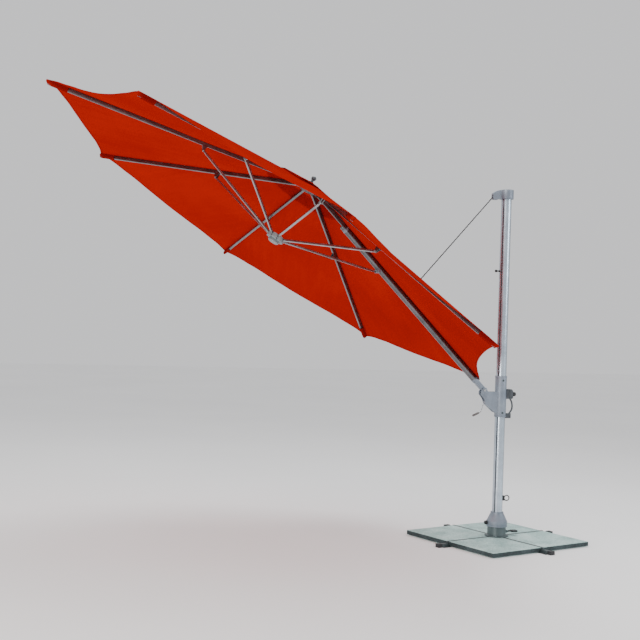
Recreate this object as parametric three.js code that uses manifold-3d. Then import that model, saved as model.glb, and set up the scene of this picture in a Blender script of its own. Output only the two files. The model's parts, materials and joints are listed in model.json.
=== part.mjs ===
// Side-post patio umbrella with a turning mast on a slab-loaded cross base.
// Millimetres, +Z up. The origin is on the mast axis at floor level and the boom leans out towards -X.
import * as THREE from 'three';
import { mergeVertices } from 'three/addons/utils/BufferGeometryUtils.js';
import Module from 'manifold-3d';

const wasm = await Module();
wasm.setup();

const rad = THREE.MathUtils.degToRad;

// ---------------------------------------------------------------- sizes
const fit = 0.3; // gap left between pieces that rest on each other
const pinFit = 0.6; // radial clearance of a pin in its hole
const sleeveFit = 0.4; // radial clearance of a sleeve on a tube, or of a plug in it
const roundSteps = 32; // facets of a large round piece
const weld = 1; // how far two joined shapes of one piece run into each other

// base
const baseYaw = rad(18.7);
const slabSide = 500;
const slabThickness = 36;
const slabGap = 24;
const slabChamfer = 4;
const webWidth = 20;
const flangeWidth = 80;
const flangeThickness = 4;
const armOverhang = 110; // arm past the slabs
const armWidth = 40;
const armHeight = 26;
const capLength = 35;
const capRim = 3;

// turning post
const mastRadius = 41;
const mastWall = 3;
const mastTop = 2755;
const socketPlateRim = 21;
const socketPlateThickness = 7;
const socketWall = 33; // socket past the mast
const socketTop = 118;
const spigotReach = 300;
const spigotFit = 1;
const collarWall = 43; // collar past the mast
const collarRise = 46;
const collarConeRise = 57;
const collarNeckWall = 11;
const collarNeckRise = 14;
const clampRise = 31.3; // above the foot of the mast
const clampKnobRadius = 14;
const clampKnobLength = 22;
const clampStemRadius = 5;
const clampStemDepth = 24;

// pedal
const pedalStandOff = 14; // hinge past the socket
const pedalHingeHeight = 76;
const pedalTongueWidth = 17;
const pedalPinRadius = 3;
const pedalLugWall = 5;
const pedalEyeRadius = 9;
const pedalLugHalf = 14;
const pedalReach = 88;
const pedalPadLength = 50;
const pedalPadWidth = 46;
const pedalPadHalf = 7;

// mast fittings
const headHeight = 75;
const headWall = 16;
const headNose = 18; // snout past the pulley's axis
const headPlugDepth = 60;
const headSnoutWidth = 40;
const pulleyStandOff = 63; // pulley axis past the mast
const pulleyRise = 9;
const pulleyRopeRadius = 14;
const pulleyFlangeRadius = 17;
const pulleyRim = 3; // flange beside the rope
const pulleyGap = 1; // beside the pulley
const pulleyRoom = 3; // beyond its flanges
const pulleyPinRadius = 4;
const hookHeight = 2175;
const hookReach = 39;
const hookRadius = 11;
const cleatHeight = 344;
const cleatRadius = 21;
const cleatWire = 4.5;
const cleatStem = 14;
const cleatPadWidth = 18;
const cleatPadHeight = 40;

// boom bracket and winch
const bracketBottom = 1000;
const bracketTop = 1330;
const bracketWall = 5.5;
const cheekGap = 2; // beside the boom's foot
const cheekWall = 6;
const hingeStandOff = 109; // hinge pin past the mast
const hingeHeight = 1215;
const hingePinRadius = 6;
const hingeEyeRadius = 22;
const pinHeadRim = 5;
const pinHeadHeight = 4;
const winchBottom = 1147;
const winchTop = 1225;
const winchStandOff = 57; // housing past the mast
const winchWidth = 56;
const knobHeight = 1184;
const knobRadius = 16;
const knobLength = 28;
const knobShaftRadius = 6;
const knobShaftDepth = 24;
const knobGap = 5;
const handleBow = 6; // grip past the housing
const handleWidth = 15;
const handleFootBottom = 990;
const handleFootTop = 1030;
const handleFootInset = 8;
const crankInset = 18; // spindle towards the mast from the hinge pin
const crankHeight = 1103;
const crankPitch = rad(24);
const crankSpindleRadius = 5;
const crankWire = 3;
const crankAdvance = 73;
const crankThrow = 44;
const crankGripRadius = 9;
const crankGripLength = 61;

// boom and canopy frame
const boomStandOff = 72.25; // boom past the canopy's corner, to the hinge pin
const boomElevation = rad(45.7);
const boomRadius = 27;
const boomWall = 3;
const boomFootLength = 128;
const boomFootWidth = 36;
const boomSpigot = 45;
const neckLength = 343; // from the crown pivot to the step in the boom
const neckWidth = 24;
const stepLength = 32;
const spokeCount = 8;
const ribSlope = rad(14.1);
const canopyRadius = 2020; // crown axis to a corner of the fabric
const ribWidth = 18;
const ribDepth = 30;
const ribWall = 2.5;
const ribEndInset = 18;
const hubRim = 15;
const hubPivotRadius = 55;
const tongueGap = 1.5; // beside a tongue in its slot
const hubPinRadius = 3;
const hubAbove = 18;
const hubBelow = 20;
const hubSlotRoom = 7; // behind a tongue in its slot
const tongueWidth = 9;
const tongueRadius = 8;
const tongueLength = 34;
const strutPlace = 794; // crown pivot to strut pivot along a rib
const strutGap = 1; // between the boom's underside and a strut's end
const strutWidth = 16;
const strutTongue = 25;
const cheekReach = 9;
const strutCheekWall = 6;
const clevisHalfLength = 16;
const crownBossRadius = 30;
const lowerBossRadius = 46;
const lowerBossDrop = 26;

// fabric
const fabric = 2;
const ventOpening = 220;
const ventRadius = 380;
const ventFlatRadius = 38;
const rimSag = 80;
const seamGap = 1;
const eyeSlotLength = 64;
const eyeSlotWidth = 30;
const finialRise = 62;
const finialStem = 8;
const finialRadius = 20;

// rope
const ropeRadius = 5;
const ropePlace = 1005; // hinge pin to rope eye along the boom
const ropeEyeStandOff = 18; // eye above the boom's skin
const ropeEyeRadius = 8;
const ropePinRadius = 3;
const ropeLugWidth = 7;
const lugGap = 1; // beside the lug in the clevis
const clevisWall = 3;
const clevisLength = 40;
const ferruleLength = 20;
const ferruleRadius = 7;

// ---------------------------------------------------------------- worked out from the sizes
const webTop = flangeThickness + slabThickness + weld;
const socketBottom = webTop + fit;
const mastBottom = socketTop + 2 * fit;
const mastBore = mastRadius + sleeveFit;
const mastInside = mastRadius - mastWall;
const sleeveRadius = mastRadius + bracketWall;
const bracketBore = sleeveRadius + sleeveFit;
const armReach = slabSide + slabGap / 2 + armOverhang;
const socketRadius = mastRadius + socketWall;
const socketPlateRadius = socketRadius + socketPlateRim;
const pedalHingeRadius = socketRadius + pedalStandOff;
const collarRadius = mastRadius + collarWall;
const clampHeight = mastBottom + clampRise;
const headRadius = mastRadius + headWall;
const pulleyX = -mastRadius - pulleyStandOff;
const pulleyWidth = 2 * (ropeRadius + pulleyRim);
const pulleySlot = pulleyWidth + 2 * pulleyGap;
const headSnout = headNose - pulleyX;
const cheekInner = boomFootWidth / 2 + cheekGap;
const cheekOuter = cheekInner + cheekWall;
const hingeX = -mastRadius - hingeStandOff;
const crankX = hingeX + crankInset;
const winchReach = mastRadius + winchStandOff;
const handleReach = winchReach + handleBow;
const handleFootReach = winchReach - handleFootInset;
const boomLength = canopyRadius / Math.cos(ribSlope) + boomStandOff; // crown to hinge pin
const boomInside = boomRadius - boomWall;
const hubRadius = hubPivotRadius + hubRim;
const hubSlot = tongueWidth + 2 * tongueGap;
const hubSlotDepth = hubRim + tongueRadius + hubSlotRoom;
const strutDrop = boomRadius + tongueRadius + strutGap; // strut pivot below the rib's pivot line
const crownBossRise = boomRadius - weld;
const ropeEyeRise = boomRadius + ropeEyeStandOff;
const clevisGap = ropeLugWidth + 2 * lugGap;
const halfSector = Math.PI / spokeCount;
const ribFall = Math.tan(ribSlope);
const pivotZ = -hubPivotRadius * ribFall;
const pivotReach = hubPivotRadius / Math.cos(ribSlope);
const boomSpan = boomLength - pivotReach; // crown pivot to hinge pin
const ribSpan = (canopyRadius - ribEndInset) / Math.cos(ribSlope) - pivotReach;
const ribTop = boomRadius;
const strutLength = Math.hypot(strutPlace, strutDrop);
const strutAngle = ribSlope + Math.atan2(strutDrop, strutPlace);
const lowerPivotZ = pivotZ - 2 * strutLength * Math.sin(strutAngle);
const sideFall = ribFall * Math.tan(halfSector);
const fabricRise = (ribTop + fit) / Math.cos(ribSlope) + (neckWidth / 2) * sideFall;
const canopyTilt = boomElevation - ribSlope;
const crownPlace = new THREE.Vector3(
  hingeX - boomLength * Math.cos(boomElevation),
  0,
  hingeHeight + boomLength * Math.sin(boomElevation),
);
const pulleyPlace = new THREE.Vector3(pulleyX, 0, mastTop + pulleyRise);
const ropeEyePlace = new THREE.Vector3(
  hingeX - ropePlace * Math.cos(boomElevation) + ropeEyeRise * Math.sin(boomElevation),
  0,
  hingeHeight + ropePlace * Math.sin(boomElevation) + ropeEyeRise * Math.cos(boomElevation),
);

// ---------------------------------------------------------------- materials
function surface(color, roughness, metalness) {
  return new THREE.MeshStandardMaterial({ color, roughness, metalness });
}

const aluminium = surface(0xb9bfc7, 0.35, 1);
const castGrey = surface(0x8f999f, 0.5, 0.6);
const greyPlastic = surface(0x7d878c, 0.55, 0);
const blackPlastic = surface(0x1b1d1f, 0.5, 0);
const steel = surface(0xa9adb2, 0.3, 1);
const paintedSteel = surface(0x9aa6a8, 0.5, 0.4);
const slabStone = surface(0xaabdbb, 0.85, 0);
const redFabric = surface(0xc5271b, 0.9, 0);
const cordGrey = surface(0x3b3d42, 0.9, 0);

// ---------------------------------------------------------------- solids
function toSolid(geometry) {
  const bare = geometry.index ? geometry.toNonIndexed() : geometry.clone();
  bare.deleteAttribute('normal');
  bare.deleteAttribute('uv');
  const merged = mergeVertices(bare, 1e-4);
  return new wasm.Manifold(
    new wasm.Mesh({
      numProp: 3,
      vertProperties: new Float32Array(merged.attributes.position.array),
      triVerts: new Uint32Array(merged.index.array),
    }),
  );
}

function toGeometry(solid) {
  const mesh = solid.getMesh();
  const geometry = new THREE.BufferGeometry();
  geometry.setAttribute('position', new THREE.BufferAttribute(mesh.vertProperties, 3));
  geometry.setIndex(new THREE.BufferAttribute(mesh.triVerts, 1));
  geometry.computeVertexNormals();
  return geometry;
}

function join(...solids) {
  return solids.reduce((whole, next) => whole.add(next));
}

function cut(solid, ...tools) {
  return tools.reduce((whole, tool) => whole.subtract(tool), solid);
}

// A box between two corners.
function boxGeometry(low, high) {
  const size = high.map((value, axis) => value - low[axis]);
  const geometry = new THREE.BoxGeometry(...size);
  geometry.translate(...high.map((value, axis) => (value + low[axis]) / 2));
  return geometry;
}

function box(low, high) {
  return toSolid(boxGeometry(low, high));
}

// A profile of [radius, height] points turned about Z.
function turned(points, segments = roundSteps) {
  return new THREE.LatheGeometry(points.map(([r, z]) => new THREE.Vector2(r, z)), segments).rotateX(Math.PI / 2);
}

// The same, turned about X or Y instead, with the height running along that axis.
function turnedAlongX(points, segments) {
  return turned(points, segments).rotateY(Math.PI / 2);
}

function turnedAlongY(points, segments) {
  return turned(points, segments).rotateX(-Math.PI / 2);
}

function ring(inner, outer, low, high) {
  return [[inner, low], [outer, low], [outer, high], [inner, high], [inner, low]];
}

function rod(radius, low, high) {
  return [[0, low], [radius, low], [radius, high], [0, high]];
}

// An outline in X and Z with a width along Y.
function slice(outline, low, high) {
  const geometry = new THREE.ExtrudeGeometry(outline, { depth: high - low, bevelEnabled: false, curveSegments: 4 });
  geometry.rotateX(Math.PI / 2);
  geometry.translate(0, high, 0);
  return geometry;
}

function outlineOf(points) {
  return new THREE.Shape(points.map(([x, y]) => new THREE.Vector2(x, y)));
}

// A bar outline along X with one or two round ends.
function barOutline(startRadius, length, endRadius) {
  const shape = new THREE.Shape();
  shape.moveTo(0, -startRadius);
  shape.lineTo(length, -endRadius);
  shape.absarc(length, 0, endRadius, -Math.PI / 2, Math.PI / 2, false);
  shape.lineTo(0, startRadius);
  shape.absarc(0, 0, startRadius, Math.PI / 2, Math.PI * 1.5, false);
  return shape;
}

// A round section swept along a smooth path through the points.
function swept(points, radius, steps, sides) {
  const path = new THREE.CatmullRomCurve3(points.map((p) => new THREE.Vector3(...p)), false, 'centripetal');
  const section = new THREE.Shape();
  section.absarc(0, 0, radius, 0, 2 * Math.PI, false);
  return new THREE.ExtrudeGeometry(section, {
    steps,
    bevelEnabled: false,
    extrudePath: path,
    curveSegments: sides,
  });
}

function crossPin(radius, halfLength, x, z) {
  return toSolid(turnedAlongY(rod(radius, -halfLength, halfLength), 8).translate(x, 0, z));
}

function piece(name, shape, material) {
  const geometry = shape.isBufferGeometry ? toGeometry(toSolid(shape)) : toGeometry(shape);
  const mesh = new THREE.Mesh(geometry, material);
  mesh.name = name;
  return mesh;
}

function groupAt(parent, place, turnY = 0, turnZ = 0) {
  const group = new THREE.Group();
  group.position.copy(place);
  group.rotation.set(0, turnY, turnZ, 'ZYX');
  parent.add(group);
  return group;
}

// ---------------------------------------------------------------- base
function crossFrame() {
  const slabReach = slabSide + slabGap / 2;
  const arms = [0, 1].map((turn) => {
    const webEnd = slabReach + slabGap / 2;
    const armEnd = armReach - capLength - fit;
    const web = box([-webEnd, -webWidth / 2, 0], [webEnd, webWidth / 2, webTop]);
    const flange = box([-armEnd, -flangeWidth / 2, 0], [armEnd, flangeWidth / 2, flangeThickness]);
    const armLow = slabReach + weld;
    const near = box([armLow, -armWidth / 2, 0], [armEnd, armWidth / 2, armHeight]);
    const far = box([-armEnd, -armWidth / 2, 0], [-armLow, armWidth / 2, armHeight]);
    return join(web, flange, near, far).rotate([0, 0, 90 * turn]);
  });
  return join(...arms);
}

function slab() {
  const inner = slabGap / 2;
  const outline = new THREE.Shape();
  outline.moveTo(0, 0);
  outline.lineTo(slabSide, 0);
  outline.lineTo(slabSide, slabSide);
  outline.lineTo(0, slabSide);
  const geometry = new THREE.ExtrudeGeometry(outline, {
    depth: slabThickness - slabChamfer,
    bevelSize: slabChamfer,
    bevelOffset: -slabChamfer,
    bevelThickness: slabChamfer / 2,
    bevelSegments: 1,
  });
  return geometry.translate(inner, inner, flangeThickness + fit + slabChamfer / 2);
}

function endCap() {
  const half = armWidth / 2 + capRim;
  return boxGeometry([armReach - capLength, -half, 0], [armReach, half, armHeight + capRim]);
}

function baseSocket() {
  const plateTop = socketBottom + socketPlateThickness;
  const spigot = mastInside - spigotFit;
  const body = toSolid(turned([
    [0, socketBottom],
    [socketPlateRadius, socketBottom],
    [socketPlateRadius, plateTop],
    [socketRadius, plateTop + socketPlateThickness / 2],
    [socketRadius, socketTop],
    [spigot, socketTop],
    [spigot, socketTop + spigotReach],
    [0, socketTop + spigotReach],
  ]));
  const inner = pedalTongueWidth / 2 + fit;
  const lug = [-1, 1].map((side) => {
    const low = side > 0 ? inner : -inner - pedalLugWall;
    const eye = new THREE.Shape();
    eye.absarc(pedalHingeRadius, pedalHingeHeight, pedalEyeRadius, -Math.PI / 2, Math.PI / 2, false);
    eye.lineTo(socketRadius - pedalEyeRadius, pedalHingeHeight + pedalLugHalf);
    eye.lineTo(socketRadius - pedalEyeRadius, pedalHingeHeight - pedalLugHalf);
    return toSolid(slice(eye, low, low + pedalLugWall));
  });
  const hole = crossPin(pedalPinRadius + pinFit, socketRadius, pedalHingeRadius, pedalHingeHeight);
  return cut(join(body, ...lug), hole);
}

function footPedal() {
  const padStart = pedalReach - pedalPadLength;
  const half = pedalTongueWidth / 2;
  const eyeRadius = 2 * pedalPinRadius;
  const lever = toSolid(slice(barOutline(eyeRadius, padStart + half, eyeRadius - 2), -half, half));
  const padSide = pedalPadWidth / 2;
  const pad = box([padStart, -padSide, -pedalPadHalf], [pedalReach, padSide, pedalPadHalf]);
  const pin = crossPin(pedalPinRadius, half + pedalLugWall, 0, 0);
  return join(lever, pad, pin);
}

// ---------------------------------------------------------------- mast
function turnCollar() {
  const shoulder = mastBottom + collarRise;
  const coneTop = shoulder + collarConeRise;
  const neck = mastRadius + collarNeckWall;
  const body = toSolid(turned([
    [mastBore, mastBottom],
    [collarRadius, mastBottom],
    [collarRadius, shoulder],
    [neck, coneTop],
    [neck, coneTop + collarNeckRise],
    [mastBore, coneTop + collarNeckRise],
    [mastBore, mastBottom],
  ]));
  const boreEnd = clampStemDepth + weld - collarRadius;
  const bore = toSolid(turnedAlongX(rod(clampStemRadius + pinFit, -collarRadius - weld, boreEnd), 12));
  return cut(body, bore.translate([0, 0, clampHeight]));
}

function clampKnob() {
  return turnedAlongX([
    [0, -clampKnobLength - 2],
    [clampKnobRadius - 3, -clampKnobLength - 2],
    [clampKnobRadius, -clampKnobLength + 1],
    [clampKnobRadius, -2],
    [clampStemRadius, -2],
    [clampStemRadius, clampStemDepth],
    [0, clampStemDepth],
  ], 16);
}

function mastHead() {
  const top = mastTop + headHeight;
  const side = new THREE.Shape();
  side.moveTo(headRadius + 1, mastTop + fit);
  side.lineTo(headRadius + 1, top - 4);
  side.lineTo(headRadius - 3, top);
  side.lineTo(-35, top);
  side.quadraticCurveTo(-headSnout + 20, top - 6, -headSnout, top - 34);
  side.lineTo(-headSnout - 2, mastTop + 4);
  side.lineTo(-headSnout + 6, mastTop - 8);
  side.lineTo(-headSnout + 40, mastTop - 8);
  side.lineTo(-headSnout + 50, mastTop + fit);
  const plan = new THREE.Shape();
  const half = headSnoutWidth / 2;
  const turn = Math.asin(half / headRadius);
  plan.moveTo(-headSnout - 5, -half);
  plan.lineTo(-headRadius * Math.cos(turn), -half);
  plan.absarc(0, 0, headRadius, Math.PI + turn, Math.PI - turn, false);
  plan.lineTo(-headSnout - 5, half);
  const tall = new THREE.ExtrudeGeometry(plan, { depth: headHeight + 40, bevelEnabled: false, curveSegments: 24 });
  const profile = toSolid(slice(side, -headRadius - weld, headRadius + weld));
  const body = profile.intersect(toSolid(tall.translate(0, 0, mastTop - 20)));
  const plug = toSolid(turned(rod(mastInside - sleeveFit, mastTop - headPlugDepth, mastTop + 2 * weld)));
  const room = pulleyFlangeRadius + pulleyRoom;
  const slot = box(
    [-2 * headSnout, -pulleySlot / 2, mastTop - 20],
    [pulleyX + room, pulleySlot / 2, pulleyPlace.z + room],
  );
  const pin = crossPin(pulleyPinRadius, pulleySlot / 2 + pulleyRoom, pulleyX, pulleyPlace.z);
  return join(cut(body, slot), plug, pin);
}

function headPulley() {
  const half = pulleyWidth / 2;
  const groove = pulleyRopeRadius - ropeRadius - fit;
  const bore = pulleyPinRadius + pinFit;
  return turnedAlongY([
    [bore, -half],
    [pulleyFlangeRadius, -half],
    [pulleyFlangeRadius, -half + 1],
    [groove, -ropeRadius],
    [groove, ropeRadius],
    [pulleyFlangeRadius, half - 1],
    [pulleyFlangeRadius, half],
    [bore, half],
    [bore, -half],
  ], 20);
}

function hookKnob() {
  const start = -mastRadius - fit;
  return turnedAlongX([
    [0, start - hookReach],
    [hookRadius - 3, start - hookReach],
    [hookRadius, start - hookReach + 4],
    [hookRadius, start - hookReach + 12],
    [6, start - hookReach + 18],
    [6, start - 6],
    [10, start],
    [0, start],
  ], 16);
}

function cleatRing() {
  const centre = mastRadius + cleatRadius + cleatWire + cleatStem;
  const torus = new THREE.TorusGeometry(cleatRadius, cleatWire, 6, 18).rotateX(Math.PI / 2);
  const loop = toSolid(torus.translate(centre, 0, 0));
  const half = cleatPadHeight / 2;
  const pad = box(
    [mastInside, -cleatPadWidth / 2, -half],
    [centre - cleatRadius, cleatPadWidth / 2, half],
  );
  const mast = toSolid(turned(rod(mastBore, -cleatPadHeight, cleatPadHeight)));
  return cut(join(loop, pad), mast);
}

// ---------------------------------------------------------------- boom bracket, winch, handle and crank
function bracket() {
  const sleeve = toSolid(turned(rod(sleeveRadius, bracketBottom, bracketTop)));
  const cheek = new THREE.Shape();
  cheek.moveTo(-mastRadius + 4, hingeHeight - 185);
  cheek.lineTo(-mastRadius + 4, hingeHeight - 13);
  cheek.lineTo(hingeX + 30, hingeHeight - 13);
  cheek.absarc(hingeX, hingeHeight, hingeEyeRadius, 0, Math.PI, false);
  cheek.lineTo(hingeX - 31, hingeHeight - 13);
  cheek.lineTo(hingeX - 31, hingeHeight - 35);
  cheek.lineTo(hingeX - 5, hingeHeight - 67);
  cheek.lineTo(hingeX + 14, hingeHeight - 112);
  cheek.lineTo(-mastRadius - 23, hingeHeight - 174);
  const cheeks = [
    toSolid(slice(cheek, cheekInner, cheekOuter)),
    toSolid(slice(cheek, -cheekOuter, -cheekInner)),
  ];
  const web = toSolid(slice(outlineOf([
    [-mastRadius + 4, hingeHeight - 165],
    [-mastRadius + 4, hingeHeight - 25],
    [hingeX + 50, hingeHeight - 25],
    [hingeX + 30, hingeHeight - 65],
    [hingeX + 6, hingeHeight - 90],
    [hingeX + 16, hingeHeight - 115],
    [-mastRadius - 27, hingeHeight - 163],
  ]), -cheekInner - weld, cheekInner + weld));
  const mast = toSolid(turned(rod(mastBore, bracketBottom - 10, bracketTop + 10)));
  const pinHole = crossPin(hingePinRadius + pinFit, cheekOuter + weld, hingeX, hingeHeight);
  const spindle = toSolid(turnedAlongX(rod(crankSpindleRadius + pinFit, -30, 60), 12).rotateY(Math.PI - crankPitch));
  return cut(
    join(sleeve, web, ...cheeks),
    mast,
    pinHole,
    spindle.translate([crankX, 0, crankHeight]),
  );
}

function boomPin() {
  const end = cheekOuter + fit;
  const tip = end + pinHeadHeight;
  const head = hingePinRadius + pinHeadRim;
  return turnedAlongY([
    [0, -tip],
    [head, -tip],
    [head, -end],
    [hingePinRadius, -end],
    [hingePinRadius, end],
    [head, end],
    [head, tip],
    [0, tip],
  ], 16);
}

function winchHousing() {
  const half = winchWidth / 2;
  const side = outlineOf([
    [mastInside, winchBottom],
    [winchReach - 8, winchBottom],
    [winchReach, winchBottom + 8],
    [winchReach, winchTop - 14],
    [winchReach - 12, winchTop],
    [mastInside, winchTop],
  ]);
  const body = toSolid(slice(side, -half, half));
  const sleeve = toSolid(turned(rod(bracketBore, winchBottom - 10, winchTop + 10)));
  const boreStart = winchReach - knobShaftDepth - 2;
  const bore = toSolid(turnedAlongX(rod(knobShaftRadius + pinFit, boreStart, winchReach + weld), 16));
  return cut(body, sleeve, bore.translate([0, 0, knobHeight]));
}

function winchKnob() {
  return turnedAlongX([
    [0, -knobShaftDepth],
    [knobShaftRadius, -knobShaftDepth],
    [knobShaftRadius, knobGap],
    [knobRadius - 2, knobGap],
    [knobRadius, knobGap + 3],
    [knobRadius, knobGap + knobLength - 4],
    [knobRadius - 4, knobGap + knobLength],
    [0, knobGap + knobLength],
  ], 16);
}

function grabHandle() {
  const grip = toSolid(swept([
    [winchReach - 14, 0, winchBottom - fit - 1],
    [winchReach - 2, 0, winchBottom - 20],
    [handleReach, 0, winchBottom - 55],
    [handleReach - 4, 0, winchBottom - 88],
    [handleFootReach - 16, 0, handleFootTop - 8],
  ], handleWidth / 2, 10, 4));
  const half = handleWidth / 2 + 5;
  const foot = box([mastInside, -half, handleFootBottom], [handleFootReach, half, handleFootTop]);
  const sleeve = toSolid(turned(rod(bracketBore, handleFootBottom - 10, winchTop)));
  const housing = box([0, -winchWidth, winchBottom - fit], [2 * winchReach, winchWidth, winchTop]);
  return cut(join(grip, foot), sleeve, housing);
}

function crankArm() {
  const end = crankAdvance + 3 - fit;
  const stops = [
    [10, 0],
    [20, 0],
    [crankAdvance - 14, crankThrow - 2],
    [crankAdvance - 4, crankThrow],
    [end, crankThrow],
  ];
  const wire = toSolid(swept(stops.map(([x, z]) => [x, 0, z]), crankWire, 10, 3));
  const spindle = toSolid(turnedAlongX(rod(crankSpindleRadius, -22, 14), 12));
  return join(wire, spindle);
}

function crankGrip() {
  const start = crankAdvance + 3;
  return turnedAlongX([
    [0, start],
    [crankGripRadius - 3, start],
    [crankGripRadius, start + 8],
    [crankGripRadius, start + crankGripLength - 6],
    [crankGripRadius - 4, start + crankGripLength],
    [0, start + crankGripLength],
  ], 12);
}

// ---------------------------------------------------------------- boom, in line with a rib
function boomFoot() {
  const half = boomFootWidth / 2;
  const joint = boomSpan - boomFootLength;
  const eye = toSolid(slice(barOutline(half, boomFootLength - 18, half + 1), -half, half).rotateZ(Math.PI));
  const collar = toSolid(turnedAlongX(rod(boomRadius, joint, joint + 26), 24));
  const spigot = toSolid(turnedAlongX(rod(boomInside - sleeveFit, joint - boomSpigot, joint + weld), 20));
  const hole = crossPin(hingePinRadius + pinFit, boomFootWidth, boomSpan, 0);
  return cut(join(eye.translate([boomSpan, 0, 0]), collar, spigot), hole);
}

function boomTube() {
  const start = neckLength + stepLength + fit;
  const end = boomSpan - boomFootLength - fit;
  return turnedAlongX(ring(boomInside, boomRadius, start, end), 24);
}

function tongue() {
  const half = tongueWidth / 2;
  const blade = toSolid(slice(barOutline(tongueRadius, tongueLength + 10, tongueRadius), -half, half));
  return cut(blade, crossPin(hubPinRadius + pinFit, tongueWidth, 0, 0));
}

function boomNeck() {
  const half = neckWidth / 2;
  const beam = box([tongueLength, -half, ribTop - ribDepth], [neckLength + 5, half, ribTop]);
  const step = toSolid(turnedAlongX(rod(boomRadius, neckLength, neckLength + stepLength), 24));
  const start = neckLength + stepLength;
  const plug = toSolid(turnedAlongX(rod(boomInside - sleeveFit, start - weld, start + boomSpigot), 20));
  return join(tongue(), beam, step, plug);
}

// Two cheeks under a rib or the boom that hold a strut between them on a cross pin.
function clevisCheeks(topHalf, top) {
  const inner = hubSlot / 2;
  const outer = inner + strutCheekWall;
  const cheek = new THREE.Shape();
  cheek.moveTo(strutPlace - topHalf, top);
  cheek.lineTo(strutPlace - cheekReach, -strutDrop);
  cheek.absarc(strutPlace, -strutDrop, cheekReach, Math.PI, 2 * Math.PI, false);
  cheek.lineTo(strutPlace + topHalf, top);
  return join(
    toSolid(slice(cheek, inner, outer)),
    toSolid(slice(cheek, -outer, -inner)),
    crossPin(hubPinRadius, outer - weld, strutPlace, -strutDrop),
  );
}

function boomClevis() {
  const start = strutPlace - clevisHalfLength;
  const end = strutPlace + clevisHalfLength;
  const tube = toSolid(turnedAlongX(rod(boomRadius + fit, start - boomRadius, end + boomRadius), 24));
  const outer = boomRadius + strutCheekWall;
  const saddle = cut(
    box([start, -outer, -boomRadius - 4], [end, outer, -4]),
    box([start - weld, -hubSlot / 2, -outer * 2], [end + weld, hubSlot / 2, 0]),
  );
  return cut(join(clevisCheeks(22, -boomRadius + 12), saddle), tube);
}

function ropeEye() {
  const place = boomSpan - ropePlace;
  const lug = new THREE.Shape();
  lug.moveTo(place - 20, boomRadius - 2);
  lug.lineTo(place + 20, boomRadius - 2);
  lug.lineTo(place + ropeEyeRadius, ropeEyeRise);
  lug.absarc(place, ropeEyeRise, ropeEyeRadius, 0, Math.PI, false);
  const plate = toSolid(slice(lug, -ropeLugWidth / 2, ropeLugWidth / 2));
  const pad = box([place - 26, -10, boomRadius - 4], [place + 26, 10, boomRadius + 3.5]);
  const tube = toSolid(turnedAlongX(rod(boomRadius + fit, place - 60, place + 60), 24));
  return cut(join(plate, pad), tube, crossPin(ropePinRadius + pinFit, 10, place, ropeEyeRise));
}

// ---------------------------------------------------------------- canopy frame
function slottedHub(pivot, extra) {
  const body = toSolid(turned(rod(hubRadius, pivot - hubBelow, pivot + hubAbove)));
  let hub = extra.reduce((whole, solid) => whole.add(solid), body);
  for (let k = 0; k < spokeCount; k += 1) {
    const turn = [0, 0, (360 / spokeCount) * k];
    const slotLow = [hubRadius - hubSlotDepth, -hubSlot / 2, pivot - hubBelow - 1];
    const slotHigh = [hubRadius + 5, hubSlot / 2, pivot + hubAbove + 1];
    const pin = crossPin(hubPinRadius, hubSlot / 2 + 3, hubPivotRadius, pivot);
    hub = hub.subtract(box(slotLow, slotHigh).rotate(turn)).add(pin.rotate(turn));
  }
  return hub;
}

function crownHub() {
  const top = pivotZ + hubAbove;
  const inner = hubRadius - hubSlotDepth - 2;
  const boss = toSolid(turned([
    [0, top - 1],
    [inner, top - 1],
    [crownBossRadius, top + crownBossRise],
    [0, top + crownBossRise],
  ]));
  return slottedHub(pivotZ, [boss]);
}

function lowerHub() {
  const low = lowerPivotZ - hubBelow;
  const inner = hubRadius - hubSlotDepth - 2;
  const boss = toSolid(turned([
    [0, low - lowerBossDrop],
    [lowerBossRadius - 12, low - lowerBossDrop],
    [lowerBossRadius, low - lowerBossDrop + 8],
    [inner, low + 1],
    [0, low + 1],
  ]));
  return slottedHub(lowerPivotZ, [boss]);
}

function finial(base) {
  return turned([
    [0, base + fit],
    [finialStem, base + fit],
    [finialStem, base + fabric + 4 * fit],
    [22, base + fabric + 4 * fit],
    [18, base + 12],
    [10, base + 18],
    [12, base + finialRise - 34],
    [finialRadius, base + finialRise - 22],
    [finialRadius, base + finialRise - 10],
    [12, base + finialRise - 1],
    [0, base + finialRise],
  ], 20);
}

function rib() {
  const half = ribWidth / 2;
  const bottom = ribTop - ribDepth;
  const beam = cut(
    box([tongueLength, -half, bottom], [ribSpan, half, ribTop]),
    box([tongueLength + 20, ribWall - half, bottom + ribWall], [ribSpan + 1, half - ribWall, ribTop - ribWall]),
  );
  return join(tongue(), beam, clevisCheeks(20, bottom + ribWall / 2));
}

function strut() {
  const half = tongueWidth / 2;
  const blade = toSolid(slice(barOutline(tongueRadius, strutLength, tongueRadius), -half, half));
  const middle = box(
    [strutTongue, -strutWidth / 2, -strutWidth / 2],
    [strutLength - strutTongue, strutWidth / 2, strutWidth / 2],
  );
  const holes = [0, strutLength].map((x) => crossPin(hubPinRadius + pinFit, tongueWidth, x, 0));
  return cut(join(blade, middle), ...holes);
}

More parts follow.
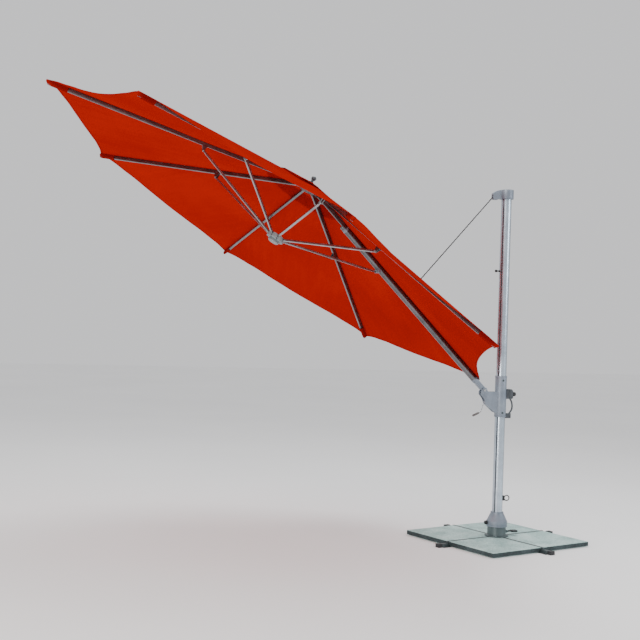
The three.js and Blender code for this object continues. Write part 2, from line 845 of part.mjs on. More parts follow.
// ---------------------------------------------------------------- fabric, in the crown's frame
// Half of the fabric over one rib: it runs to the middle line between two ribs and falls with the facet.
function halfPanel(side) {
  const towardsMiddle = new THREE.Vector2(Math.cos(halfSector), Math.sin(halfSector));
  const offSeam = new THREE.Vector2(towardsMiddle.y, -towardsMiddle.x).multiplyScalar(seamGap / 2);
  const corner = new THREE.Vector2(canopyRadius, 0);
  const chordMiddle = towardsMiddle.clone().multiplyScalar(canopyRadius * Math.cos(halfSector));
  const innerMiddle = towardsMiddle.clone().multiplyScalar(ventOpening * Math.cos(halfSector));
  const points = [new THREE.Vector2(ventOpening, 0), corner.clone()];
  const rimSteps = 4;
  for (let step = 1; step <= rimSteps; step += 1) {
    const t = step / rimSteps;
    const sag = rimSag * (1 - (1 - t) ** 2);
    points.push(corner.clone().lerp(chordMiddle, t).addScaledVector(towardsMiddle, -sag));
  }
  points[points.length - 1].add(offSeam);
  points.push(innerMiddle.add(offSeam));
  return fallingSheet(points, side, fabricRise);
}

// A flat outline given a thickness and then lowered with distance from the crown.
function fallingSheet(points, side, rise) {
  const outline = points.map((p) => new THREE.Vector2(p.x, p.y * side));
  const geometry = new THREE.ExtrudeGeometry(new THREE.Shape(outline), { depth: fabric, bevelEnabled: false });
  const position = geometry.attributes.position;
  for (let i = 0; i < position.count; i += 1) {
    const fall = ribFall * position.getX(i) + sideFall * Math.abs(position.getY(i));
    position.setZ(i, position.getZ(i) + rise - fall);
  }
  return toSolid(geometry);
}

function canopyPanel(hasEyeSlot) {
  const panel = join(halfPanel(1), halfPanel(-1));
  if (!hasEyeSlot) {
    return panel;
  }
  const place = (boomLength - ropePlace) * Math.cos(ribSlope) + ropeEyeRise * Math.sin(ribSlope);
  const half = eyeSlotLength / 2;
  const slot = box([place - half, -eyeSlotWidth / 2, -canopyRadius], [place + half, eyeSlotWidth / 2, canopyRadius]);
  return cut(panel, slot);
}

function ventCap(underside) {
  const rise = underside + ventFlatRadius * ribFall;
  const corner = new THREE.Vector2(ventRadius, 0);
  const middle = new THREE.Vector2(Math.cos(halfSector), Math.sin(halfSector));
  middle.multiplyScalar(ventRadius * Math.cos(halfSector));
  const halves = [1, -1].map((side) => fallingSheet([new THREE.Vector2(0, 0), corner, middle], side, rise));
  const sector = join(...halves);
  const turns = Array.from({ length: spokeCount }, (_, k) => (360 / spokeCount) * k);
  const sheet = join(...turns.map((turn) => sector.rotate([0, 0, turn])));
  const crownHole = toSolid(turned(rod(ventFlatRadius - 2, underside - fabric, rise + 2 * fabric)));
  const flat = toSolid(turned(rod(ventFlatRadius, underside, underside + fabric + 0.5)));
  const stemHole = toSolid(turned(rod(finialStem + pinFit, underside - fabric, rise + 2 * fabric)));
  return cut(cut(sheet, crownHole).add(flat), stemHole);
}

// ---------------------------------------------------------------- rope, along X from the pulley's axis
const ropeSpan = ropeEyePlace.clone().sub(pulleyPlace);
const ropeLength = Math.sqrt(ropeSpan.lengthSq() - pulleyRopeRadius ** 2);
const ropeTurn = Math.atan2(-ropeSpan.z, ropeSpan.x) - Math.asin(pulleyRopeRadius / ropeSpan.length());

function tiltRope() {
  const end = ropeLength - clevisLength - ferruleLength - fit;
  return turnedAlongX(rod(ropeRadius, 0, end), 10).translate(0, 0, -pulleyRopeRadius);
}

function ropeClevis() {
  const inner = clevisGap / 2;
  const outer = inner + clevisWall;
  const cheeks = [-outer, inner].map((low) => {
    const cheek = slice(barOutline(ferruleRadius + 1, clevisLength - 14, ferruleRadius), low, low + clevisWall);
    return toSolid(cheek.rotateZ(Math.PI));
  });
  const bridge = box([-clevisLength, -outer, -ferruleRadius], [-clevisLength + 14, outer, ferruleRadius]);
  const pin = crossPin(ropePinRadius, outer, 0, 0);
  return join(...cheeks, bridge, pin);
}

function ropeFerrule() {
  const start = -clevisLength - ferruleLength;
  const end = -clevisLength - fit;
  return turnedAlongX([
    [0, start],
    [ferruleRadius - 2, start],
    [ferruleRadius, start + 4],
    [ferruleRadius, end],
    [0, end],
  ], 12);
}

// ---------------------------------------------------------------- assembly
const umbrella = new THREE.Group();
const floor = new THREE.Vector3();

const base = groupAt(umbrella, floor, 0, baseYaw);
base.add(piece('cross_frame', crossFrame(), paintedSteel));
for (let side = 0; side < 4; side += 1) {
  const quarter = groupAt(base, floor, 0, (Math.PI / 2) * side);
  quarter.add(piece(`slab_${side + 1}`, slab(), slabStone));
  quarter.add(piece(`end_cap_${side + 1}`, endCap(), blackPlastic));
}

umbrella.add(piece('base_socket', baseSocket(), blackPlastic));
groupAt(umbrella, new THREE.Vector3(pedalHingeRadius, 0, pedalHingeHeight))
  .add(piece('foot_pedal', footPedal(), blackPlastic));

umbrella.add(piece('turn_collar', turnCollar(), castGrey));
groupAt(umbrella, new THREE.Vector3(-collarRadius, 0, clampHeight))
  .add(piece('clamp_knob', clampKnob(), blackPlastic));
const mastProfile = ring(mastRadius - mastWall, mastRadius, mastBottom, mastTop);
umbrella.add(piece('mast_tube', turned(mastProfile), aluminium));
umbrella.add(piece('mast_head', mastHead(), castGrey));
groupAt(umbrella, pulleyPlace).add(piece('head_pulley', headPulley(), greyPlastic));
groupAt(umbrella, new THREE.Vector3(0, 0, hookHeight)).add(piece('hook_knob', hookKnob(), blackPlastic));
groupAt(umbrella, new THREE.Vector3(0, 0, cleatHeight)).add(piece('cleat_ring', cleatRing(), blackPlastic));

umbrella.add(piece('boom_bracket', bracket(), castGrey));
groupAt(umbrella, new THREE.Vector3(hingeX, 0, hingeHeight)).add(piece('boom_pin', boomPin(), steel));
umbrella.add(piece('winch_housing', winchHousing(), greyPlastic));
groupAt(umbrella, new THREE.Vector3(winchReach, 0, knobHeight)).add(piece('winch_knob', winchKnob(), blackPlastic));
umbrella.add(piece('grab_handle', grabHandle(), greyPlastic));
const crank = groupAt(umbrella, new THREE.Vector3(crankX, 0, crankHeight), Math.PI - crankPitch);
crank.add(piece('crank_arm', crankArm(), steel));
groupAt(crank, new THREE.Vector3(0, 0, crankThrow)).add(piece('crank_grip', crankGrip(), blackPlastic));

const ropeLine = groupAt(umbrella, pulleyPlace, ropeTurn);
ropeLine.add(piece('tilt_rope', tiltRope(), cordGrey));
const ropeEnd = groupAt(ropeLine, new THREE.Vector3(ropeLength, 0, -pulleyRopeRadius));
ropeEnd.add(piece('rope_ferrule', ropeFerrule(), steel));
ropeEnd.add(piece('rope_clevis', ropeClevis(), steel));

const crown = groupAt(umbrella, crownPlace, canopyTilt);
const crownTop = pivotZ + hubAbove + crownBossRise;
crown.add(piece('crown_hub', crownHub(), castGrey));
crown.add(piece('vent_cap', ventCap(crownTop + fit), redFabric));
crown.add(piece('finial', finial(crownTop), greyPlastic));
crown.add(piece('lower_hub', lowerHub(), greyPlastic));
for (let k = 0; k < spokeCount; k += 1) {
  const isBoom = k === 0;
  const spoke = groupAt(crown, floor, 0, (2 * Math.PI / spokeCount) * k);
  const arm = groupAt(spoke, new THREE.Vector3(hubPivotRadius, 0, pivotZ), ribSlope);
  if (isBoom) {
    arm.add(piece('boom_neck', boomNeck(), aluminium));
    arm.add(piece('boom_tube', boomTube(), aluminium));
    arm.add(piece('boom_foot', boomFoot(), castGrey));
    arm.add(piece('boom_clevis', boomClevis(), greyPlastic));
    arm.add(piece('rope_eye', ropeEye(), steel));
  } else {
    arm.add(piece(`rib_${k}`, rib(), aluminium));
  }
  const lower = groupAt(spoke, new THREE.Vector3(hubPivotRadius, 0, lowerPivotZ), -strutAngle);
  lower.add(piece(`strut_${k}`, strut(), aluminium));
  spoke.add(piece(`canopy_panel_${k}`, canopyPanel(isBoom), redFabric));
}

export default umbrella;
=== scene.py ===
import json
import math

import bmesh
import bpy
from mathutils import Matrix, Vector


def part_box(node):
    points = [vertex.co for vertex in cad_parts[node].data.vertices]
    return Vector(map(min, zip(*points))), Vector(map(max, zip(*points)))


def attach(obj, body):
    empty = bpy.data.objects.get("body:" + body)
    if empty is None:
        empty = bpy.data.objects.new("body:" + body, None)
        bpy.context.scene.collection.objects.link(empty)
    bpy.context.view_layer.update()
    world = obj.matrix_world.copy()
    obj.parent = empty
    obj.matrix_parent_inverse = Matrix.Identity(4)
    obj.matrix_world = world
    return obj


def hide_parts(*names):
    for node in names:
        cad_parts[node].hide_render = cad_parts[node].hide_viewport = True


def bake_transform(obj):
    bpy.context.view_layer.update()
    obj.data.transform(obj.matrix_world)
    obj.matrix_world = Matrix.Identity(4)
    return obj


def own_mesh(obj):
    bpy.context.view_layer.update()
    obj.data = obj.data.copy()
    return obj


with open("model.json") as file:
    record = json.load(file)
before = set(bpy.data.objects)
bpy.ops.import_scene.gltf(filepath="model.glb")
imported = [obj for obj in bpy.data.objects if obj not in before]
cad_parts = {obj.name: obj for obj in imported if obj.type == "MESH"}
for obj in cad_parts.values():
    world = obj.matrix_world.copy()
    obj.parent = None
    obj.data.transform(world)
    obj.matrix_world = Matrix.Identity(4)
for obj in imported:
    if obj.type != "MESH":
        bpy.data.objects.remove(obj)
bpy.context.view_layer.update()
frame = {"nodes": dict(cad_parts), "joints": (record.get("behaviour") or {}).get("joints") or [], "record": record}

nodes = frame["nodes"]
joints = {joint["name"]: joint for joint in frame["joints"]}
bodyOf = {}
for bodyName, members in frame["record"]["behaviour"]["bodies"].items():
    for member in members:
        bodyOf[member] = bodyName
print("frame loaded:", len(nodes), "nodes")

# small helpers: colours, nodes, meshes


def linearColour(hexText):
    # sRGB hex to linear RGBA
    channels = [int(hexText[i : i + 2], 16) / 255 for i in (1, 3, 5)]
    return [c / 12.92 if c <= 0.04045 else ((c + 0.055) / 1.055) ** 2.4 for c in channels] + [1.0]


def addNode(tree, kind, settings=None, inputs=None, links=None):
    node = tree.nodes.new(kind)
    for key, value in (settings or {}).items():
        setattr(node, key, value)
    for key, value in (inputs or {}).items():
        node.inputs[key].default_value = value
    for key, socket in (links or {}).items():
        tree.links.new(socket, node.inputs[key])
    return node


def newMaterial(name):
    material = bpy.data.materials.new(name)
    material.use_nodes = True
    material.node_tree.nodes.clear()
    return material, material.node_tree


def closeMaterial(tree, shader):
    addNode(tree, "ShaderNodeOutputMaterial", links={"Surface": shader.outputs[0]})


def colourRamp(tree, factor, stops):
    ramp = addNode(tree, "ShaderNodeValToRGB", links={"Fac": factor})
    while len(ramp.color_ramp.elements) < len(stops):
        ramp.color_ramp.elements.new(0.5)
    for element, (place, hexText) in zip(ramp.color_ramp.elements, stops):
        element.position = place
        element.color = linearColour(hexText)
    return ramp.outputs["Color"]


def valueRange(tree, factor, low, high, fromLow=0.0, fromHigh=1.0):
    spread = addNode(
        tree,
        "ShaderNodeMapRange",
        inputs={"From Min": fromLow, "From Max": fromHigh, "To Min": low, "To Max": high},
        links={"Value": factor},
    )
    return spread.outputs["Result"]


def placeOf(tree, source="Object", scale=(1, 1, 1)):
    spot = addNode(tree, "ShaderNodeTexCoord").outputs[source]
    mapping = addNode(tree, "ShaderNodeMapping", inputs={"Scale": scale}, links={"Vector": spot})
    return mapping.outputs["Vector"]


def perMetre(sizeInMm):
    return 1000 / sizeInMm


def bandScale(periodInMm):
    # a wave texture repeats every 2 pi / 20 of its scaled coordinate
    return math.pi / 10 * perMetre(periodInMm)


def bumped(tree, height, strength, distanceInMm, normal=None):
    links = {"Height": height}
    if normal:
        links["Normal"] = normal
    relief = {"Strength": strength, "Distance": distanceInMm / 1000}
    return addNode(tree, "ShaderNodeBump", None, relief, links).outputs["Normal"]


def newPiece(name, verts, faces, materials, faceMaterials=None, smooth=True):
    mesh = bpy.data.meshes.new(name)
    mesh.from_pydata([tuple(v) for v in verts], [], faces)
    for material in materials:
        mesh.materials.append(material)
    if faceMaterials:
        mesh.polygons.foreach_set("material_index", faceMaterials)
    mesh.polygons.foreach_set("use_smooth", [smooth] * len(mesh.polygons))
    mesh.update()
    piece = bpy.data.objects.new(name, mesh)
    bpy.context.collection.objects.link(piece)
    return piece


def smoothByAngle(mesh, degrees):
    mesh.polygons.foreach_set("use_smooth", [True] * len(mesh.polygons))
    shape = bmesh.new()
    shape.from_mesh(mesh)
    for edge in shape.edges:
        edge.smooth = len(edge.link_faces) == 2 and edge.calc_face_angle(0) < math.radians(degrees)
    shape.to_mesh(mesh)
    shape.free()


def toFrame(origin, xAxis, zAxis):
    # a matrix whose local x and z run along the given directions
    x = Vector(xAxis).normalized()
    y = Vector(zAxis).cross(x).normalized()
    z = x.cross(y)
    return Matrix.Translation(Vector(origin)) @ Matrix((x, y, z)).transposed().to_4x4()


def turnedPiece(name, profile, material, place=Matrix.Identity(4), steps=72, sharp=30):
    # profile holds (radius, height) pairs from bottom to top, turned about local z
    verts, faces = [], []
    for radius, height in profile:
        for step in range(steps):
            angle = 2 * math.pi * step / steps
            verts.append((radius * math.cos(angle), radius * math.sin(angle), height))
    for ring in range(len(profile) - 1):
        for step in range(steps):
            a, b = ring * steps + step, ring * steps + (step + 1) % steps
            faces.append((a, b, b + steps, a + steps))
    faces.append(tuple(reversed(range(steps))))
    faces.append(tuple(range((len(profile) - 1) * steps, len(profile) * steps)))
    piece = newPiece(name, verts, faces, [material])
    piece.data.transform(place)
    bevelEdges(piece.data, 0.0, sharp)
    return piece


weldDistance = 1e-5
flatAngle = math.radians(1.5)


def bevelEdges(mesh, width, sharp=30, segments=2):
    # rounds every edge sharper than the given angle, or only smooths the mesh where the width is 0
    shape = bmesh.new()
    shape.from_mesh(mesh)
    bmesh.ops.remove_doubles(shape, verts=shape.verts, dist=weldDistance)
    bmesh.ops.recalc_face_normals(shape, faces=shape.faces)
    if width > 0:
        limit = math.radians(sharp)
        edges = [e for e in shape.edges if len(e.link_faces) == 2 and e.calc_face_angle(0) > limit]
        bmesh.ops.bevel(
            shape,
            geom=edges,
            offset=width,
            segments=segments,
            profile=0.6,
            affect="EDGES",
            clamp_overlap=True,
        )
    shape.to_mesh(mesh)
    shape.free()
    smoothByAngle(mesh, sharp)


def softened(node, material, width, sharp=30):
    # the node's own shape with its edges rounded as moulded, cast and drawn parts are
    source = nodes[node]
    mesh = source.data.copy()
    mesh.transform(source.matrix_world)
    mesh.materials.clear()
    mesh.materials.append(material)
    shape = bmesh.new()
    shape.from_mesh(mesh)
    bmesh.ops.remove_doubles(shape, verts=shape.verts, dist=weldDistance)
    bmesh.ops.dissolve_limit(shape, angle_limit=flatAngle, verts=shape.verts, edges=shape.edges)
    shape.to_mesh(mesh)
    shape.free()
    bevelEdges(mesh, width, sharp)
    skin = bpy.data.objects.new(f"{node}_skin", mesh)
    bpy.context.collection.objects.link(skin)
    return settle(skin, bodyOf[node], node)


def settle(piece, body, *replaced):
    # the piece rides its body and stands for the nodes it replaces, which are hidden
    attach(piece, body)
    if replaced:
        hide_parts(*replaced)
    return piece


# materials, named for what they are and how they were made


def wovenAcrylic():
    # solution-dyed acrylic, plain weave: matt and deep red, glowing where daylight comes through
    material, tree = newMaterial("wovenAcrylicRed")
    plan = placeOf(tree, "UV")
    # real threads are 0.5 mm apart; drawn at 9 mm so that the weave shows from a few metres
    pitch = {"Scale": bandScale(9)}
    warp = addNode(tree, "ShaderNodeTexWave", {"bands_direction": "X"}, pitch, {"Vector": plan})
    weft = addNode(tree, "ShaderNodeTexWave", {"bands_direction": "Y"}, pitch, {"Vector": plan})
    crossing = {0: warp.outputs["Fac"], 1: weft.outputs["Fac"]}
    weave = addNode(tree, "ShaderNodeMath", {"operation": "MULTIPLY"}, None, crossing).outputs[0]
    slub = addNode(
        tree,
        "ShaderNodeTexNoise",
        None,
        {"Scale": perMetre(60), "Detail": 4.0, "Roughness": 0.6},
        {"Vector": placeOf(tree, "UV", (0.12, 1, 1))},
    )
    cloud = addNode(
        tree, "ShaderNodeTexNoise", None, {"Scale": perMetre(620), "Detail": 2.0}, {"Vector": plan}
    ).outputs["Fac"]
    tone = addNode(
        tree, "ShaderNodeMath", {"operation": "MULTIPLY_ADD"}, {1: 0.45}, {0: slub.outputs["Fac"], 2: cloud}
    )
    shade = colourRamp(tree, tone.outputs[0], [(0.45, "#8e0f05"), (0.75, "#a01508"), (1.0, "#ae1a0b")])
    gaps = colourRamp(tree, weave, [(0.0, "#b8b0ae"), (0.5, "#ffffff")])
    dyed = addNode(
        tree, "ShaderNodeMixRGB", {"blend_type": "MULTIPLY"}, {"Fac": 0.18}, {"Color1": shade, "Color2": gaps}
    )
    relief = bumped(tree, cloud, 0.5, 4, bumped(tree, weave, 0.35, 0.8))
    cloth = addNode(
        tree,
        "ShaderNodeBsdfPrincipled",
        None,
        {"Roughness": 0.86, "IOR": 1.5, "Specular IOR Level": 0.0},
        {"Base Color": dyed.outputs["Color"], "Normal": relief},
    )
    through = {"Color": linearColour("#ac1407")}
    glow = addNode(tree, "ShaderNodeBsdfTranslucent", None, through, {"Normal": relief})
    both = {1: cloth.outputs[0], 2: glow.outputs[0]}
    closeMaterial(tree, addNode(tree, "ShaderNodeMixShader", None, {"Fac": 0.3}, both))
    return material


def stitchedSeam(name, hexDark, hexLight):
    # the same acrylic folded and lockstitched: darker where it is doubled, painted shade for doubled cloth letting
    # less light through, with a row of dimples whose hollows are painted darker as shade
    material, tree = newMaterial(name)
    plan = placeOf(tree, "UV")
    # real stitches are 3 mm long; drawn at 12 mm so that they show
    pitch = {"Scale": bandScale(12)}
    stitch = addNode(tree, "ShaderNodeTexWave", {"bands_direction": "X"}, pitch, {"Vector": plan})
    fluff = {"Scale": perMetre(7), "Detail": 3.0}
    grain = addNode(tree, "ShaderNodeTexNoise", None, fluff, {"Vector": plan})
    cloth = addNode(
        tree,
        "ShaderNodeBsdfPrincipled",
        None,
        {"IOR": 1.5, "Specular IOR Level": 0.0},
        {
            "Base Color": colourRamp(tree, stitch.outputs["Fac"], [(0.1, hexDark), (0.7, hexLight)]),
            "Roughness": valueRange(tree, grain.outputs["Fac"], 0.8, 0.95),
            "Normal": bumped(tree, stitch.outputs["Fac"], 0.6, 1.2),
        },
    )
    closeMaterial(tree, cloth)
    return material


def satinMetal(name, hexLow, hexHigh, roughness, grainInMm, stretch=(1, 1, 1), metallic=1.0):
    # drawn, cast or sheet metal with a satin finish: soft broad highlights and a faint grain
    material, tree = newMaterial(name)
    grain = addNode(
        tree,
        "ShaderNodeTexNoise",
        None,
        {"Scale": perMetre(grainInMm), "Detail": 5.0, "Roughness": 0.65},
        {"Vector": placeOf(tree, "Object", stretch)},
    ).outputs["Fac"]
    spread = {"Scale": perMetre(90), "Detail": 3.0}
    wear = addNode(tree, "ShaderNodeTexNoise", None, spread, {"Vector": placeOf(tree)})
    metal = addNode(
        tree,
        "ShaderNodeBsdfPrincipled",
        None,
        {"Metallic": metallic},
        {
            "Base Color": colourRamp(tree, wear.outputs["Fac"], [(0.3, hexLow), (0.7, hexHigh)]),
            "Roughness": valueRange(tree, grain, roughness - 0.08, roughness + 0.1, 0.3, 0.7),
            "Normal": bumped(tree, grain, 0.25, 0.3),
        },
    )
    closeMaterial(tree, metal)
    return material


def mouldedPlastic(name, hexLow, hexHigh, roughness):
    # injection-moulded polymer with a spark-eroded texture: even, dull and slightly dusty
    material, tree = newMaterial(name)
    # real texture is 0.1 mm; drawn at 2.2 mm so that it shows
    texture = {"Scale": perMetre(2.2)}
    grain = addNode(tree, "ShaderNodeTexVoronoi", None, texture, {"Vector": placeOf(tree)})
    spread = {"Scale": perMetre(45), "Detail": 3.0}
    dust = addNode(tree, "ShaderNodeTexNoise", None, spread, {"Vector": placeOf(tree)}).outputs["Fac"]
    plastic = addNode(
        tree,
        "ShaderNodeBsdfPrincipled",
        None,
        {"IOR": 1.5},
        {
            "Base Color": colourRamp(tree, dust, [(0.35, hexLow), (0.7, hexHigh)]),
            "Roughness": valueRange(tree, dust, roughness - 0.06, roughness + 0.1),
            "Normal": bumped(tree, grain.outputs["Distance"], 0.3, 0.4),
        },
    )
    closeMaterial(tree, plastic)
    return material


def washedConcrete(name, hexLow, hexMiddle, hexHigh):
    # pressed and washed concrete: fine stones show in a pale cement face
    material, tree = newMaterial(name)
    spot = placeOf(tree)
    # real grit is 2 to 4 mm; drawn at 9 mm so that it shows
    grit = addNode(tree, "ShaderNodeTexVoronoi", None, {"Scale": perMetre(9)}, {"Vector": spot})
    damp = {"Scale": perMetre(160), "Detail": 5.0}
    patch = addNode(tree, "ShaderNodeTexNoise", None, damp, {"Vector": spot}).outputs["Fac"]
    tone = addNode(
        tree, "ShaderNodeMath", {"operation": "MULTIPLY_ADD"}, {1: 0.4}, {0: grit.outputs["Color"], 2: patch}
    )
    stops = [(0.4, hexLow), (0.65, hexMiddle), (0.95, hexHigh)]
    stone = addNode(
        tree,
        "ShaderNodeBsdfPrincipled",
        None,
        {"IOR": 1.5},
        {
            "Base Color": colourRamp(tree, tone.outputs[0], stops),
            "Roughness": valueRange(tree, patch, 0.78, 0.95),
            "Normal": bumped(tree, grit.outputs["Distance"], 0.5, 1.5),
        },
    )
    closeMaterial(tree, stone)
    return material


def braidedPolyester():
    # braided polyester cord, nearly black with a greyer tracer strand that winds round it
    material, tree = newMaterial("braidedPolyesterCord")
    strand = addNode(
        tree,
        "ShaderNodeTexWave",
        {"bands_direction": "DIAGONAL"},
        {"Scale": bandScale(34), "Distortion": 0.4},
        {"Vector": placeOf(tree, "UV")},
    ).outputs["Fac"]
    cord = addNode(
        tree,
        "ShaderNodeBsdfPrincipled",
        None,
        {"Roughness": 0.9, "IOR": 1.5, "Sheen Weight": 0.2},
        {
            "Base Color": colourRamp(tree, strand, [(0.35, "#08090b"), (0.6, "#121316"), (0.9, "#303236")]),
            "Normal": bumped(tree, strand, 0.8, 1.5),
        },
    )
    closeMaterial(tree, cord)
    return material


clothRed = wovenAcrylic()
seamRed = stitchedSeam("lockstitchedAcrylicSeam", "#6d0f08", "#9c180f")
hemRed = stitchedSeam("foldedAcrylicHem", "#84120a", "#a81c10")
mastMetal = satinMetal("anodisedAluminiumDrawn", "#a4b1bd", "#bfccd8", 0.26, 3, (1, 1, 0.02), 0.8)
# inside the mast's grooves: the same aluminium made dark and matt, painted shade in the recesses
grooveShadeMetal = satinMetal("anodisedAluminiumGrooveShade", "#2b3036", "#3a4047", 0.7, 3, (1, 1, 0.02), 0.0)
# ribs, boom tube and boom neck: the struts' anodised aluminium made darker, painted shade under the canopy
ribMetalInShade = satinMetal("anodisedAluminiumExtrudedInShade", "#5c5f62", "#777a7d", 0.3, 3, (1, 1, 1), 0.9)
strutMetal = satinMetal("anodisedAluminiumFlat", "#8d9092", "#a9acae", 0.24, 3, (1, 1, 1), 0.9)
castMetal = satinMetal("powderCoatedCastAluminium", "#747e8a", "#8a94a0", 0.42, 4, (1, 1, 1), 0.4)
brightSteel = satinMetal("galvanisedSteelTurned", "#9da1a5", "#bcc0c3", 0.28, 2)
# dark steel: the blackened screws' own colour, and on the cross frame a paint made dark partly as painted shade in
# the gaps between the slabs
darkSteelAndGapShade = satinMetal("powderCoatedSteelTubeAndGapShade", "#333d3e", "#485355", 0.46, 5, (1, 1, 1), 0.3)
socketSteel = satinMetal("stovedSteelCasting", "#4a5759", "#5e6c6e", 0.42, 4, (1, 1, 1), 0.35)
greyNylon = mouldedPlastic("mouldedNylonGrey", "#7d898d", "#929ea1", 0.5)
darkNylon = mouldedPlastic("mouldedNylonDark", "#33383d", "#474d53", 0.45)
gripPlastic = mouldedPlastic("mouldedPolypropyleneGrey", "#5d5a59", "#726e6c", 0.55)
blackAbs = mouldedPlastic("mouldedAbsBlack", "#121416", "#202326", 0.45)
slabFace = washedConcrete("washedConcreteFace", "#86a3a0", "#a1bfbb", "#c4dcd8")
# the slab sides: the same concrete made much darker, painted shade on the sides
slabSideShade = washedConcrete("pressedConcreteSideShade", "#1c2628", "#2a3638", "#414f51")
cordMaterial = braidedPolyester()
print("materials made:", len(bpy.data.materials))

# the crown's own frame, taken from the joints

spokeCount = 8
foldNames = ["canopy_fold"] + [f"rib_{k}_fold" for k in range(1, spokeCount)]
pivots = [Vector(joints[name]["pos_m"]) for name in foldNames]
hubCentre = sum(pivots, Vector()) / spokeCount
towardsMast = (pivots[0] - hubCentre).normalized()
crownAxis = towardsMast.cross(pivots[2] - hubCentre).normalized()
halfSector = math.pi / spokeCount

canopy = {
    "ribSlope": math.radians(14.1),
    "ventOpening": 0.220,
    "ventRadius": 0.380,
    "rimSag": 0.080,  # how far the rim curves in between two corners
    "rise": 0.0302,  # the cloth above the plane of the rib pivots
    "ventRise": 0.0414,
    "belly": 0.026,  # sag of a facet halfway between vent and rim
    "droop": 0.030,  # sag of the rim between two ribs
    "crease": 0.0035,
    "seamHalf": 0.007,
    "seamRise": 0.0009,
    "hem": 0.024,  # width of the folded edge
    "foldedShare": 0.15,  # width that is left of a facet when the canopy is folded
    "creasesPerHalf": 3,
    "creaseStart": 0.55,
    "seamEase": 1.15,
}
ribFall = math.tan(canopy["ribSlope"])
sideFall = ribFall * math.tan(halfSector)
hubPivotRadius = (pivots[0] - hubCentre).length
crownPlace = hubCentre + crownAxis * hubPivotRadius * ribFall


def spokeFrame(k):
    out = Matrix.Rotation(2 * halfSector * k, 3, crownAxis) @ towardsMast
    return toFrame(crownPlace, out, crownAxis)


def ribFrame(k):
    # x runs out along the rib from its hub pivot, z points up out of the fabric
    spoke = spokeFrame(k)
    tilt = Matrix.Rotation(canopy["ribSlope"], 4, "Y")
    return spoke @ Matrix.Translation((hubPivotRadius, 0, -hubPivotRadius * ribFall)) @ tilt


def ribBody(k):
    return "boom" if k == 0 else f"rib_{k}"


def nodeSpan(node, matrix):
    # how far a node reaches along the x of a frame
    inverse = matrix.inverted()
    reach = [(inverse @ (nodes[node].matrix_world @ v.co)).x for v in nodes[node].data.vertices]
    return min(reach), max(reach)


cornerRadius = nodeSpan("canopy_panel_2", spokeFrame(2))[1]


# canopy: one curved sheet, laid out over each rib as far as the middle between two ribs


def sheetPoint(shape, t, v, across):
    # t runs from the vent to the rim, v from the rib to the middle line, across is its side
    cosM, sinM = math.cos(halfSector), math.sin(halfSector)
    inner = Vector((shape["inner"], 0)).lerp(Vector((cosM, sinM)) * shape["inner"] * cosM, v)
    outer = Vector((shape["outer"], 0)).lerp(Vector((cosM, sinM)) * shape["outer"] * cosM, v)
    outer -= Vector((cosM, sinM)) * shape["sag"] * (1 - (1 - v) ** 2)
    place = inner.lerp(outer, t)
    # the cloth is held by the rib and hangs freest at the middle line
    free = math.sin(math.pi * v / 2) ** 2
    belly = free * (shape["belly"] * math.sin(math.pi * t) + shape["droop"] * t**1.6)
    # the cloth is creased towards the rim, beside the rib
    pull = max(0.0, (t - canopy["creaseStart"]) / (1 - canopy["creaseStart"])) ** 2
    wave = (1 - math.cos(2 * math.pi * canopy["creasesPerHalf"] * v)) / 2
    crease = shape["crease"] * pull * (1 - v) * wave
    height = shape["rise"] - ribFall * place.x - sideFall * place.y - belly + crease
    return Vector((place.x, place.y * across, height))


def fabricSheet(name, k, shape):
    rows, columns = shape["rows"], shape["columns"]
    middleWidth = [sheetPoint(shape, t, 1, 1).y for t in (0, 1)]
    seam = canopy["seamHalf"]
    hemShare = canopy["hem"] / (shape["outer"] - shape["inner"])
    tValues = [i / rows * (1 - hemShare) for i in range(rows + 1)] + [1 - hemShare / 2, 1.0]
    verts, uvs, grid = [], [], []
    for t in tValues:
        width = middleWidth[0] + (middleWidth[1] - middleWidth[0]) * t
        near = seam / width
        plain = near * canopy["seamEase"]
        half = [0.0, near, plain]
        half += [plain + (1 - plain) * (j / columns) for j in range(1, columns + 1)]
        signed = [-v for v in reversed(half[1:])] + half
        row = []
        for v in signed:
            across = -1 if v < 0 else 1
            place = sheetPoint(shape, t, abs(v), across)
            if abs(v) < plain:
                place.z += canopy["seamRise"]
            row.append(len(verts))
            verts.append(place)
            facet = (k if across > 0 else k - 1) % spokeCount
            cosM, sinM = math.cos(halfSector), math.sin(halfSector)
            along = place.x * cosM + abs(place.y) * sinM
            aside = (-place.x * sinM + abs(place.y) * cosM) * across
            # each facet is cut from its own length of the cloth
            uvs.append((along + 3 * facet, aside))
        grid.append(row)
    middle = len(grid[0]) // 2
    faces, faceMaterials = [], []
    for i in range(len(grid) - 1):
        for j in range(len(grid[0]) - 1):
            faces.append((grid[i][j], grid[i + 1][j], grid[i + 1][j + 1], grid[i][j + 1]))
            inSeam = j in (middle - 1, middle)
            inHem = i >= rows
            faceMaterials.append(1 if inSeam else 2 if inHem else 0)
    piece = newPiece(name, verts, faces, [clothRed, seamRed, hemRed], faceMaterials)
    mesh = piece.data
    layer = mesh.uv_layers.new(name="flat")
    for loop in mesh.loops:
        layer.data[loop.index].uv = uvs[loop.vertex_index]
    # at the middle lines the two sheets share one normal, so the cloth reads as one surface
    normals = [Vector(n.vector) for n in mesh.vertex_normals]
    for row in grid:
        for end, across in ((row[0], -1), (row[-1], 1)):
            aside = Vector((-math.sin(halfSector), math.cos(halfSector) * across, 0))
            normals[end] = (normals[end] - aside * normals[end].dot(aside)).normalized()
    mesh.normals_split_custom_set_from_vertices([tuple(n) for n in normals])
    area = sum(polygon.area for polygon in mesh.polygons)
    length = max(v.x for v in verts) - min(v.x for v in verts)
    width = max(v.y for v in verts) - min(v.y for v in verts)
    mesh.transform(spokeFrame(k))
    return piece, area, (width, length / math.cos(canopy["ribSlope"]))


